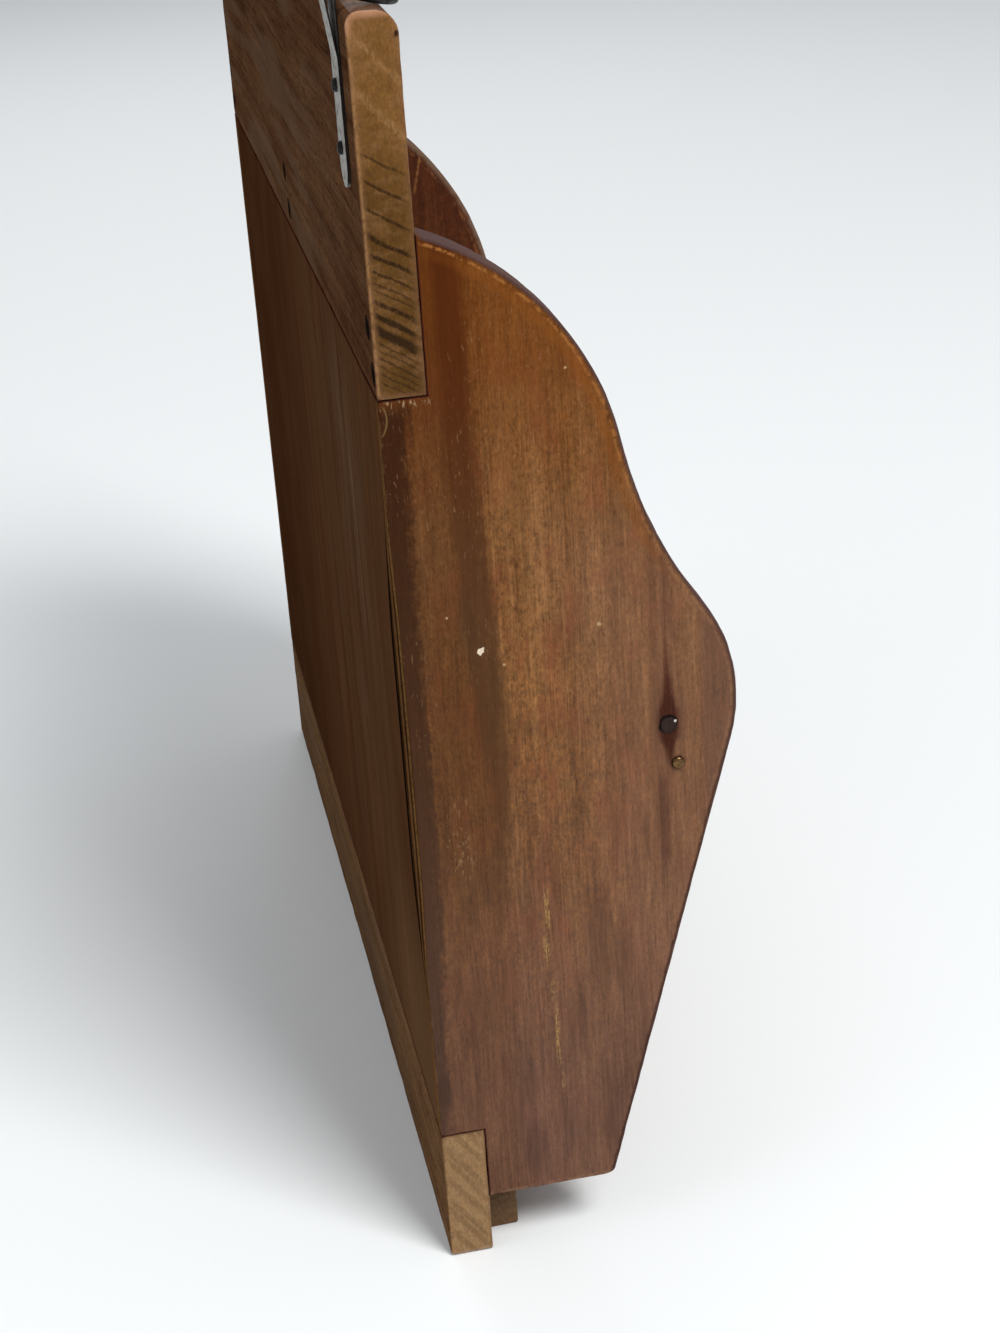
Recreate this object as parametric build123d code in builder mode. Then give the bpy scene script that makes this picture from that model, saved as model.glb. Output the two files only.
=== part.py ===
"""Wall mail organizer: two slanted letter pockets side by side between two rails, hung by two steel D-rings.

Millimetres. The wall is the plane Y = 0 and the front points to -Y, X runs from left to right seen from
the front, and Z = 0 is the lowest edge. Depth means the distance in front of the wall.
"""
import os
from math import asin, atan2, cos, degrees, hypot, radians, sin, tan

from build123d import *

os.makedirs("parts", exist_ok=True)

# Overall sizes
width = 355.6
height = 362.0

# Rails across the back, with the top rail's upper edges rounded over
rail_thickness = 12.7
top_rail_height = 95.0
bottom_rail_height = 43.5
top_round_back = 3.5
top_round_front = 6.0

# Vertical boards: two sides and a divider, all of one outline
board_thickness = 9.5
board_bottom = 19.8
board_drop = 54.0
shoulder_slope = 21.0
shoulder_radius = 78.5
shoulder_turn = 58.0
neck_radius = 131.5
neck_turn = 23.5
belly_radius = 49.5
slant = 15.6
foot_round = 2.0
side_edge_round = 1.2
divider_edge_round = 2.5

# Back panel, let into the sides behind a lip
panel_thickness = 6.0
panel_gap = 0.3
side_lip = 4.0

# Front panels and bottom boards
front_thickness = 9.5
front_recess = 8.5
front_rise = 6.5
front_edge_round = 1.5
bottom_thickness = 9.5

# Strip under the boards, on the front of the bottom rail
strip_thickness = 9.6
strip_inset = 9.8
strip_edge_round = 1.5

# Sunk nails through the top rail into each vertical board
hole_clearance = 0.05
nail_shank = 2.0
nail_length = 30.0
nail_head = 4.6
nail_head_thickness = 1.2
nail_hole = 4.8
nail_sink = 1.0
nail_stagger = 1.8
nail_rises = (17.4, 6.3)

# Brass nails through the sides into the front panels
brass_shank = 1.3
brass_length = 17.0
brass_head = 3.5
brass_head_height = 1.0
brass_head_round = 0.8
brass_drop = 12.0

# Hangers: a folded steel strap holds a D-ring of wire
hanger_inset = 18.3
strap_width = 12.4
sheet = 0.4
strap_low = 45.0
strap_fold = 13.0
ring_axis_rise = 4.0
wire = 2.2
ring_clearance = 0.05
ring_width = 22.0
ring_reach = 17.0
ring_corner = 2.5
ring_rest_gap = 0.2

# Screws of the hangers
screw_shank = 1.8
screw_length = 9.0
screw_head = 3.4
screw_head_height = 1.2
screw_head_round = 0.9
screw_slot_width = 0.5
screw_slot_depth = 0.5
screw_drops = (20.0, 35.3)

# Worked out from the sizes above
left_end = -width / 2
right_end = width / 2
left_inner = left_end + board_thickness
right_inner = right_end - board_thickness
divider_left = -board_thickness / 2
divider_right = board_thickness / 2
board_top = height - board_drop
top_rail_bottom = height - top_rail_height
board_centers = (left_end + board_thickness / 2, 0.0, right_end - board_thickness / 2)
hanger_centers = (left_end + hanger_inset, right_end - hanger_inset)
nail_points = []
for board_x in board_centers:
    nail_points.append((board_x + nail_stagger, top_rail_bottom + nail_rises[0]))
    nail_points.append((board_x - nail_stagger, top_rail_bottom + nail_rises[1]))
screw_points = [(x, height - drop) for x in hanger_centers for drop in screw_drops]
nail_tip = nail_sink + nail_head_thickness + nail_length


def side_view(x):
    """Plane across the width at x: its first axis is the depth, its second the height, and it faces left."""
    return Plane(origin=(x, 0, 0), x_dir=(0, -1, 0), z_dir=(-1, 0, 0))


# Front edge of the vertical boards: shoulder, neck and belly are tangent arcs, and the slant runs on from them
with BuildLine() as front_edge:
    shoulder = JernArc(
        (rail_thickness, board_top),
        (cos(radians(shoulder_slope)), -sin(radians(shoulder_slope))),
        shoulder_radius,
        -shoulder_turn,
    )
    neck = JernArc(shoulder @ 1, shoulder % 1, neck_radius, neck_turn)
    belly_turn = 90 + slant - shoulder_slope - shoulder_turn + neck_turn
    belly = JernArc(neck @ 1, neck % 1, belly_radius, -belly_turn)
slant_top = belly @ 1
front_top = slant_top.Y + front_rise


def slant_depth(z, inset=0.0):
    """Depth at height z of a line parallel to the slanted front edge and the inset behind it."""
    return slant_top.X + (z - slant_top.Y) * tan(radians(slant)) - inset / cos(radians(slant))


def board_outline(back_depth):
    """Side view of a vertical board, notched around both rails, whose back edge between them is at back_depth."""
    with BuildSketch() as outline:
        with BuildLine():
            add(front_edge.line)
            Polyline(
                slant_top,
                (slant_depth(board_bottom), board_bottom),
                (rail_thickness, board_bottom),
                (rail_thickness, bottom_rail_height),
                (back_depth, bottom_rail_height),
                (back_depth, top_rail_bottom),
                (rail_thickness, top_rail_bottom),
                (rail_thickness, board_top),
            )
        make_face()
        foot = outline.vertices().group_by(Axis.Y)[0].sort_by(Axis.X)[-1]
        fillet(foot, foot_round)
    return outline.sketch


def front_edges(part):
    """Long edges of a vertical board's curved and slanted front."""
    across = part.edges().filter_by(Axis.X, reverse=True)
    return across.filter_by(
        lambda e: e.center().Y < -rail_thickness - 1 and e.center().Z > board_bottom + foot_round
    )


# Top rail, with the sunk holes of its nails and the pilot holes of the hangers' screws
with BuildPart() as top_rail:
    with BuildSketch(Plane.XZ):
        with Locations((0, height - top_rail_height / 2)):
            Rectangle(width, top_rail_height)
    extrude(amount=rail_thickness)
    upper_edges = top_rail.edges().filter_by(Axis.X).group_by(Axis.Z)[-1].sort_by(Axis.Y)
    fillet(upper_edges[-1], top_round_back)
    front_upper_edge = top_rail.faces().sort_by(Axis.Y)[0].edges().filter_by(Axis.X).sort_by(Axis.Z)[-1]
    fillet(front_upper_edge, top_round_front)
    with BuildSketch(Plane.XZ):
        with Locations(nail_points):
            Circle(nail_hole / 2)
    extrude(amount=nail_sink + nail_head_thickness, mode=Mode.SUBTRACT)
    with BuildSketch(Plane.XZ):
        with Locations(nail_points):
            Circle(nail_shank / 2 + hole_clearance)
    extrude(amount=rail_thickness, mode=Mode.SUBTRACT)
    with BuildSketch(Plane.XZ):
        with Locations(screw_points):
            Circle(screw_shank / 2 + hole_clearance)
    extrude(amount=screw_length - 2 * sheet + hole_clearance, mode=Mode.SUBTRACT)
top_rail.part.label = "top_rail"
export_step(top_rail.part, "parts/top_rail.step")

# Bottom rail
with BuildPart() as bottom_rail:
    with BuildSketch(Plane.XZ):
        with Locations((0, bottom_rail_height / 2)):
            Rectangle(width, bottom_rail_height)
    extrude(amount=rail_thickness)
bottom_rail.part.label = "bottom_rail"
export_step(bottom_rail.part, "parts/bottom_rail.step")

# Side boards, each with a lip beside the back panel and a hole for its brass nail
brass_height = front_top - brass_drop
brass_depth = slant_depth(brass_height, front_recess + front_thickness / 2)
opening_center = (bottom_rail_height + top_rail_bottom) / 2
for name, outer_x, inner_x, lip_center, board_x in (
    ("left_side", left_end, left_inner, (left_end + side_lip + left_inner) / 2, board_centers[0]),
    ("right_side", right_end, right_inner, (right_end - side_lip + right_inner) / 2, board_centers[2]),
):
    with BuildPart() as side:
        with BuildSketch(side_view(max(outer_x, inner_x))):
            add(board_outline(0))
        extrude(amount=board_thickness)
        fillet(front_edges(side.part), side_edge_round)
        with BuildSketch(Plane.XZ):
            with Locations((lip_center, opening_center)):
                Rectangle(board_thickness - side_lip, top_rail_bottom - bottom_rail_height)
        extrude(amount=panel_thickness, mode=Mode.SUBTRACT)
        with BuildSketch(Plane.XZ.offset(rail_thickness)):
            with Locations([p for p in nail_points if abs(p[0] - board_x) < board_thickness / 2]):
                Circle(nail_shank / 2 + hole_clearance)
        extrude(amount=nail_tip + hole_clearance - rail_thickness, mode=Mode.SUBTRACT)
        with BuildSketch(side_view(max(outer_x, inner_x))):
            with Locations((brass_depth, brass_height)):
                Circle(brass_shank / 2 + hole_clearance)
        extrude(amount=board_thickness, mode=Mode.SUBTRACT)
    side.part.label = name
    export_step(side.part, f"parts/{name}.step")

# Divider, whose back edge lies against the back panel
with BuildPart() as center_divider:
    with BuildSketch(side_view(divider_right)):
        add(board_outline(panel_thickness))
    extrude(amount=board_thickness)
    fillet(front_edges(center_divider.part), divider_edge_round)
    with BuildSketch(Plane.XZ.offset(rail_thickness)):
        with Locations([p for p in nail_points if abs(p[0]) < board_thickness / 2]):
            Circle(nail_shank / 2 + hole_clearance)
    extrude(amount=nail_tip + hole_clearance - rail_thickness, mode=Mode.SUBTRACT)
center_divider.part.label = "center_divider"
export_step(center_divider.part, "parts/center_divider.step")

# Back panel, one sheet between the rails, in the sides' recesses and against the divider
with BuildPart() as back_panel:
    with BuildSketch(Plane.XZ):
        with Locations((0, opening_center)):
            Rectangle(width - 2 * (side_lip + panel_gap), top_rail_bottom - bottom_rail_height - 2 * panel_gap)
    extrude(amount=panel_thickness)
back_panel.part.label = "back_panel"
export_step(back_panel.part, "parts/back_panel.step")

# Front panels, set back from the slanted edges, and the bottom boards behind their feet
front_back_inset = front_recess + front_thickness
top_corner = (slant_depth(front_top, front_recess), front_top)
top_back_corner = (
    top_corner[0] - front_thickness * cos(radians(slant)),
    top_corner[1] + front_thickness * sin(radians(slant)),
)
pocket_width = divider_left - left_inner
for side_name, low_x, high_x, outward in (
    ("left", left_inner, divider_left, -1),
    ("right", divider_right, right_inner, 1),
):
    with BuildPart() as front_panel:
        with BuildSketch(side_view(high_x)):
            with BuildLine():
                Polyline(
                    (slant_depth(board_bottom, front_recess), board_bottom),
                    top_corner,
                    top_back_corner,
                    (slant_depth(board_bottom, front_back_inset), board_bottom),
                    close=True,
                )
            make_face()
        extrude(amount=pocket_width)
        upper = front_panel.edges().filter_by(Axis.X).filter_by(lambda e: e.center().Z > front_top - 1)
        fillet(upper, front_edge_round)
        nailed_end = low_x if outward < 0 else high_x
        with BuildSketch(Plane(origin=(nailed_end, 0, 0), x_dir=(0, -1, 0), z_dir=(-1, 0, 0))):
            with Locations((brass_depth, brass_height)):
                Circle(brass_shank / 2 + hole_clearance)
        reach = brass_length - board_thickness + hole_clearance
        extrude(amount=reach * outward, mode=Mode.SUBTRACT)
    front_panel.part.label = f"{side_name}_front_panel"
    export_step(front_panel.part, f"parts/{side_name}_front_panel.step")

    with BuildPart() as bottom_board:
        with BuildSketch(side_view(high_x)):
            with BuildLine():
                Polyline(
                    (rail_thickness, board_bottom),
                    (slant_depth(board_bottom, front_back_inset), board_bottom),
                    (
                        slant_depth(board_bottom + bottom_thickness, front_back_inset),
                        board_bottom + bottom_thickness,
                    ),
                    (rail_thickness, board_bottom + bottom_thickness),
                    close=True,
                )
            make_face()
        extrude(amount=pocket_width)
    bottom_board.part.label = f"{side_name}_bottom_board"
    export_step(bottom_board.part, f"parts/{side_name}_bottom_board.step")

# Strip under the boards
with BuildPart() as lower_strip:
    with BuildSketch(Plane.XZ.offset(rail_thickness)):
        with Locations((0, board_bottom / 2)):
            Rectangle(width - 2 * strip_inset, board_bottom)
    extrude(amount=strip_thickness)
    strip_edge = lower_strip.faces().sort_by(Axis.Y)[0].edges().filter_by(Axis.X).sort_by(Axis.Z)[0]
    fillet(strip_edge, strip_edge_round)
lower_strip.part.label = "lower_strip"
export_step(lower_strip.part, "parts/lower_strip.step")

# Sunk nails
with BuildPart() as rail_nails:
    with BuildSketch(Plane.XZ.offset(nail_sink)):
        with Locations(nail_points):
            Circle(nail_head / 2)
    extrude(amount=nail_head_thickness)
    with BuildSketch(Plane.XZ.offset(nail_sink + nail_head_thickness)):
        with Locations(nail_points):
            Circle(nail_shank / 2)
    extrude(amount=nail_length)
rail_nails.part.label = "rail_nails"
export_step(rail_nails.part, "parts/rail_nails.step")

# Brass nails, the right one mirrored from the left one
with BuildPart() as brass_nails:
    with BuildSketch(side_view(left_end)):
        with Locations((brass_depth, brass_height)):
            Circle(brass_head / 2)
    extrude(amount=brass_head_height)
    fillet(brass_nails.edges().sort_by(Axis.X)[0], brass_head_round)
    with BuildSketch(side_view(left_end)):
        with Locations((brass_depth, brass_height)):
            Circle(brass_shank / 2)
    extrude(amount=-brass_length)
    mirror(about=Plane.YZ)
brass_nails.part.label = "brass_nails"
export_step(brass_nails.part, "parts/brass_nails.step")

# Hanger straps: folded sheet whose two layers part below the loop that holds the ring's bar
axis_height = height + ring_axis_rise
loop_inner = wire / 2 + ring_clearance
loop_outer = loop_inner + sheet
fold_height = height - strap_fold
center_away = loop_outer - 2 * sheet
center_up = axis_height - fold_height
flare = atan2(center_away, center_up) + asin(loop_outer / hypot(center_away, center_up))
flare_end = (-loop_outer - loop_outer * cos(flare), axis_height - loop_outer * sin(flare))
flare_end_inside = (flare_end[0] + sheet * cos(flare), flare_end[1] + sheet * sin(flare))
for side_name, hanger_x in zip(("left", "right"), hanger_centers):
    with BuildPart() as strap:
        with BuildSketch(side_view(hanger_x + strap_width / 2)):
            with BuildLine():
                Polyline(
                    (0, height - strap_low),
                    (0, axis_height),
                    (-loop_outer, axis_height),
                    flare_end,
                    (-2 * sheet, fold_height),
                    (-2 * sheet, height - strap_low),
                    close=True,
                )
            make_face()
            with Locations((-loop_outer, axis_height)):
                Circle(loop_outer)
            with BuildLine():
                Polyline(
                    (-sheet, fold_height),
                    (-sheet, axis_height),
                    (-loop_outer, axis_height),
                    flare_end_inside,
                    close=True,
                )
            make_face(mode=Mode.SUBTRACT)
            with Locations((-loop_outer, axis_height)):
                Circle(loop_inner, mode=Mode.SUBTRACT)
        extrude(amount=strap_width)
        lower_corners = strap.edges().filter_by(Axis.Y).group_by(Axis.Z)[0]
        fillet(lower_corners, strap_width / 2 - hole_clearance)
        with BuildSketch(Plane.XZ):
            with Locations([p for p in screw_points if abs(p[0] - hanger_x) < strap_width / 2]):
                Circle(screw_shank / 2 + hole_clearance)
        extrude(amount=-2 * sheet, mode=Mode.SUBTRACT)
    strap.part.label = f"{side_name}_hanger_strap"
    export_step(strap.part, f"parts/{side_name}_hanger_strap.step")

# D-rings, lying forward over the top rail: the angle is that of a ring that just clears the rounded edge
round_forward = rail_thickness - top_round_front + loop_outer
round_down = ring_axis_rise + top_round_front
ring_offset = top_round_front + wire / 2 + ring_rest_gap
rest_angle = atan2(round_down, round_forward) - asin(ring_offset / hypot(round_down, round_forward))
ring_half = (ring_width - wire) / 2
for side_name, hanger_x in zip(("left", "right"), hanger_centers):
    ring_plane = Plane(
        origin=(hanger_x, loop_outer, axis_height),
        x_dir=(1, 0, 0),
        z_dir=(0, sin(rest_angle), -cos(rest_angle)),
    )
    with BuildPart() as ring:
        with BuildLine(ring_plane):
            Line((0, 0), (ring_half - ring_corner, 0))
            CenterArc((ring_half - ring_corner, ring_corner), ring_corner, 270, 90)
            Line((ring_half, ring_corner), (ring_half, ring_reach - ring_half))
            CenterArc((0, ring_reach - ring_half), ring_half, 0, 180)
            Line((-ring_half, ring_reach - ring_half), (-ring_half, ring_corner))
            CenterArc((-ring_half + ring_corner, ring_corner), ring_corner, 180, 90)
            Line((-ring_half + ring_corner, 0), (0, 0))
        with BuildSketch(Plane(origin=ring_plane.origin, x_dir=(0, 1, 0), z_dir=(1, 0, 0))):
            Circle(wire / 2)
        sweep()
    ring.part.label = f"{side_name}_ring"
    export_step(ring.part, f"parts/{side_name}_ring.step")

# Hanger screws, through both layers of the straps, each with a slot across its domed head
with BuildPart() as hanger_screws:
    with BuildSketch(Plane.XZ.offset(-2 * sheet)):
        with Locations(screw_points):
            Circle(screw_head / 2)
    extrude(amount=-screw_head_height)
    fillet(hanger_screws.edges().group_by(Axis.Y)[-1], screw_head_round)
    with BuildSketch(Plane.XZ.offset(-2 * sheet)):
        with Locations(screw_points):
            Circle(screw_shank / 2)
    extrude(amount=screw_length)
    with BuildSketch(Plane.XZ.offset(-2 * sheet - screw_head_height)):
        with Locations(screw_points):
            Rectangle(screw_head, screw_slot_width, rotation=35)
    extrude(amount=screw_slot_depth, mode=Mode.SUBTRACT)
hanger_screws.part.label = "hanger_screws"
export_step(hanger_screws.part, "parts/hanger_screws.step")

print(f"ring axis at Y {loop_outer:.2f}, Z {axis_height:.2f}")
print(f"rings rest {degrees(rest_angle):.2f} degrees below level")
print(f"front edge reaches depth {max(slant_depth(slant_top.Y), front_edge.line.bounding_box().max.X):.2f}")
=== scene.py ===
"""Wall mail organizer of old stained wood: its looks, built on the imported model.

Metres, in the model's own frame: the wall is the plane Y = 0, the front points to -Y and Z = 0 is the lowest
edge. Sizes are written in millimetres and scaled by MM. Depth means the distance in front of the wall.
"""
from functools import reduce
from math import cos, radians, sin, tan

import bmesh
import bpy
from mathutils import Matrix, Vector, kdtree, noise


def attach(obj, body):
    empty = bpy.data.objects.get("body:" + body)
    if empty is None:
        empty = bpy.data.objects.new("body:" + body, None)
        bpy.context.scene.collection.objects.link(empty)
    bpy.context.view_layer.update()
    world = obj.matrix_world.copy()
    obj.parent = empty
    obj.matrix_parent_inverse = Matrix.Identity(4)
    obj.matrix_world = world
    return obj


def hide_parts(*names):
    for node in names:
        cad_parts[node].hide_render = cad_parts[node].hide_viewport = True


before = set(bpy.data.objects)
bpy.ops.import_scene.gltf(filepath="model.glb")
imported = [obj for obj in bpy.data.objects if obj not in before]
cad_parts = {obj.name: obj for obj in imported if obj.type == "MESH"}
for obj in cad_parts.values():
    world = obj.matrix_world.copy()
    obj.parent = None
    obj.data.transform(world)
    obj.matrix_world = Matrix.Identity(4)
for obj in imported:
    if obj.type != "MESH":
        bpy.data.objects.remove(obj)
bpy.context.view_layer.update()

MM = 0.001

# Sizes of the organizer, as in its drawing
width = 355.6
height = 362.0
left_end = -width / 2
rail_thickness = 12.7
top_rail_height = 95.0
bottom_rail_height = 43.5
top_rail_bottom = height - top_rail_height
board_thickness = 9.5
board_bottom = 19.8
board_top = 308.0
shoulder_slope = 21.0
shoulder_radius = 78.5
shoulder_turn = 58.0
neck_radius = 131.5
neck_turn = 23.5
belly_radius = 49.5
slant = 15.6
belly_turn = 90 + slant - shoulder_slope - shoulder_turn + neck_turn
foot_round = 2.0
side_lip = 4.0
panel_thickness = 6.0
panel_gap = 0.3
front_thickness = 9.5
front_recess = 8.5
bottom_thickness = 9.5
strip_thickness = 9.6
strip_inset = 9.8
brass_height = 153.45
brass_depth = 73.85
nail_points = []
for board_x in (left_end + board_thickness / 2, 0.0, -left_end - board_thickness / 2):
    nail_points.append((board_x + 1.8, top_rail_bottom + 17.4))
    nail_points.append((board_x - 1.8, top_rail_bottom + 6.3))
nail_hole = 4.8
top_back_round = 3.5
top_front_round = 6.0
front_rise = 6.5

# Bowing and wear of the back sheet's near edge, which the drawing has straight
sheet_bow = 0.9
sheet_spread = 2.0
lip_spread = 1.6
lip_wear = 0.88


def ease(t):
    """0 to 1 with a soft start and end."""
    t = min(max(t, 0.0), 1.0)
    return t * t * (3 - 2 * t)


def place_object(name, data):
    """A new object of this data in the scene."""
    made = bpy.data.objects.new(name, data)
    bpy.context.scene.collection.objects.link(made)
    return made


# Building pieces
def set_piece(name, bm, body, replaced, materials):
    """Makes a piece of a mesh in millimetres, rides it on its body and hides the model parts that it
    replaces.
    """
    bmesh.ops.scale(bm, vec=(MM, MM, MM), verts=bm.verts[:])
    mesh = bpy.data.meshes.new(name)
    bm.to_mesh(mesh)
    bm.free()
    mesh.shade_smooth()
    piece = place_object(name, mesh)
    for material in materials:
        mesh.materials.append(material)
    weighted = piece.modifiers.new("even shading", "WEIGHTED_NORMAL")
    weighted.weight = 60
    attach(piece, body)
    if replaced:
        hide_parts(*replaced)
    return piece


def block(low, high):
    """A block between two corners."""
    bm = bmesh.new()
    bmesh.ops.create_cube(bm, size=1.0)
    low, high = Vector(low), Vector(high)
    bmesh.ops.scale(bm, vec=high - low, verts=bm.verts[:])
    bmesh.ops.translate(bm, vec=(low + high) / 2, verts=bm.verts[:])
    return bm


def bevel(bm, edges, size, segments):
    bmesh.ops.bevel(
        bm, geom=edges, offset=size, segments=segments, profile=0.5, affect="EDGES", material=-1,
        clamp_overlap=True,
    )


def sharp_edges(bm, least=30):
    return [e for e in bm.edges if len(e.link_faces) == 2 and e.calc_face_angle(0) > radians(least)]


def edges_where(bm, test):
    """Edges of which the middle and the direction pass a test."""
    return [e for e in bm.edges if test((e.verts[0].co + e.verts[1].co) / 2, e.verts[1].co - e.verts[0].co)]


def long_edges(bm, test):
    """Edges across the width of which the middle passes a test."""
    return edges_where(bm, lambda c, d: abs(d.x) > 1 and test(c))


def cut_away(bm, *cutters):
    """Takes other meshes out of this one."""
    scratch = []
    for part in (bm, *cutters):
        mesh = bpy.data.meshes.new("scratch")
        part.to_mesh(mesh)
        part.free()
        scratch.append(place_object("scratch", mesh))
    for cutter in scratch[1:]:
        step = scratch[0].modifiers.new("cut", "BOOLEAN")
        step.operation = "DIFFERENCE"
        step.solver = "EXACT"
        step.object = cutter
    cut = bpy.data.meshes.new_from_object(scratch[0].evaluated_get(bpy.context.evaluated_depsgraph_get()))
    made = bmesh.new()
    made.from_mesh(cut)
    for part in scratch:
        bpy.data.objects.remove(part)
    bmesh.ops.remove_doubles(made, verts=made.verts[:], dist=0.0005)
    bmesh.ops.dissolve_limit(
        made, angle_limit=radians(0.2), use_dissolve_boundaries=False, verts=made.verts[:],
        edges=made.edges[:],
    )
    return made


def dull_back(bm):
    """Gives the faces that look backwards the second material, which has no gloss."""
    bm.normal_update()
    for face in bm.faces:
        if face.normal.y > 0.6:
            face.material_index = 1


def slice_up(bm, axis, values):
    """Cuts the faces along planes, so that they can be worn and bowed."""
    normal = Vector((axis == 0, axis == 1, axis == 2))
    for value in values:
        everything = bm.verts[:] + bm.edges[:] + bm.faces[:]
        bmesh.ops.bisect_plane(bm, geom=everything, dist=0.0005, plane_co=normal * value, plane_no=normal)


def steps(start, end, pitch):
    count = max(1, round((end - start) / pitch))
    return [start + (end - start) * i / count for i in range(1, count)]


def near_steps(low, high):
    """Cuts close to both ends of a stretch, where the edges wear."""
    return [low + 1.2, low + 2.8, high - 2.8, high - 1.2]


def edge_tree(bm):
    """Points along the sharp edges, to tell how far from an edge a place on the surface is."""
    points = []
    for e in sharp_edges(bm):
        a, b = e.verts[0].co, e.verts[1].co
        count = max(1, int((b - a).length))
        points += [a.lerp(b, i / count) for i in range(count + 1)]
    tree = kdtree.KDTree(len(points))
    for i, p in enumerate(points):
        tree.insert(p, i)
    tree.balance()
    return tree


rim_reach = 12.0


def wear(bm, tree, dent, wave, seed):
    """Rubs the edges down unevenly, lets the faces roll and stores the distance to the nearest edge."""
    bm.normal_update()
    rim = bm.verts.layers.float.new("rim")
    moves = []
    for v in bm.verts:
        away = tree.find(v.co)[2]
        v[rim] = min(away / rim_reach, 1.0)
        place = v.co + Vector((seed, seed * 1.7, seed * 0.6))
        roll = noise.noise(place * 0.022) + 0.5 * noise.noise(place * 0.06)
        rub = 0.6 * noise.noise(place * 0.11) + 0.4 * noise.noise(place * 0.37) + 0.25
        close = max(0.0, 1 - away / 1.6)
        moves.append(-v.normal * (wave * (0.6 + 0.5 * roll) + dent * close * max(rub, 0.0)))
    for v, move in zip(bm.verts, moves):
        v.co += move


def arc_on(bm, vert, centre, turn, count):
    """Carries a vertex round a centre and leaves the arc's edges behind; a positive turn is to the left."""
    made = bmesh.ops.spin(
        bm, geom=[vert], cent=centre, axis=(0, 0, 1), dvec=(0, 0, 0), angle=radians(turn), steps=count,
        use_merge=False, use_duplicate=False,
    )
    return [g for g in made["geom_last"] if isinstance(g, bmesh.types.BMVert)][0]


def line_on(bm, vert, point):
    made = bmesh.ops.extrude_vert_indiv(bm, verts=[vert])["verts"][0]
    made.co = (*point, 0)
    return made


def along(start, heading, distance):
    return start + Vector((cos(radians(heading)), sin(radians(heading)), 0)) * distance


# The slanted front edge of the vertical boards
shoulder_start = Vector((rail_thickness, board_top, 0))
shoulder_centre = along(shoulder_start, -shoulder_slope - 90, shoulder_radius)
shoulder_end_heading = -shoulder_slope - shoulder_turn
neck_start = along(shoulder_centre, shoulder_end_heading + 90, shoulder_radius)
neck_centre = along(neck_start, shoulder_end_heading + 90, neck_radius)
neck_end_heading = shoulder_end_heading + neck_turn
belly_start = along(neck_centre, neck_end_heading - 90, neck_radius)
belly_centre = along(belly_start, neck_end_heading - 90, belly_radius)
slant_top = along(belly_centre, neck_end_heading - belly_turn + 90, belly_radius)
front_top = slant_top.y + front_rise


def slant_depth(z, inset=0.0):
    """Depth at height z of a line parallel to the slanted front edge and the inset behind it."""
    return slant_top.x + (z - slant_top.y) * tan(radians(slant)) - inset / cos(radians(slant))


def stand_up(bm, thickness, x):
    """Thickens a flat side view, drawn as depth and height, and stands it across the width from x on."""
    bmesh.ops.contextual_create(bm, geom=bm.edges[:])
    made = bmesh.ops.extrude_face_region(bm, geom=bm.faces[:])["geom"]
    raised = [g for g in made if isinstance(g, bmesh.types.BMVert)]
    bmesh.ops.translate(bm, vec=(0, 0, thickness), verts=raised)
    place = Matrix(((0, 0, 1, x), (-1, 0, 0, 0), (0, 1, 0, 0), (0, 0, 0, 1)))
    bmesh.ops.transform(bm, matrix=place, verts=bm.verts[:])
    bmesh.ops.recalc_face_normals(bm, faces=bm.faces[:])


def close_outline(bm, first, last, points, thickness, x):
    """Ends an outline with straight lines through points, closes it and makes it a board that starts at x."""
    for point in points:
        last = line_on(bm, last, point)
    bm.edges.new((last, first))
    stand_up(bm, thickness, x)


def vertical_board(x, back_depth, front_round):
    """A side or the divider: its arcs, the notches round both rails, the rounded front and the worn edges."""
    bm = bmesh.new()
    first = bm.verts.new(shoulder_start)
    last = arc_on(bm, first, shoulder_centre, -shoulder_turn, 44)
    last = arc_on(bm, last, neck_centre, neck_turn, 26)
    last = arc_on(bm, last, belly_centre, -belly_turn, 36)
    close_outline(bm, first, last, (
        (slant_depth(board_bottom), board_bottom), (rail_thickness, board_bottom),
        (rail_thickness, bottom_rail_height), (back_depth, bottom_rail_height),
        (back_depth, top_rail_bottom), (rail_thickness, top_rail_bottom),
    ), board_thickness, x)
    foot = long_edges(bm, lambda c: c.z < board_bottom + 1 and -c.y > rail_thickness + 5)
    bevel(bm, foot, foot_round, 5)
    tree = edge_tree(bm)
    front = edges_where(
        bm, lambda c, d: abs(d.x) < 0.01 and -c.y > rail_thickness + 0.1 and c.z > board_bottom + 0.2
        and abs(abs(c.x - x - board_thickness / 2) - board_thickness / 2) < 0.01
    )
    bevel(bm, front, front_round, 5)
    bevel(bm, sharp_edges(bm, 50), 0.35, 2)
    return bm, tree


def swell(z):
    """How far the back sheet's near edge has bowed out, as a share: nothing near the rails."""
    if z < 150:
        return ease((z - 78) / 55)
    return ease((257 - z) / 62)


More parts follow.
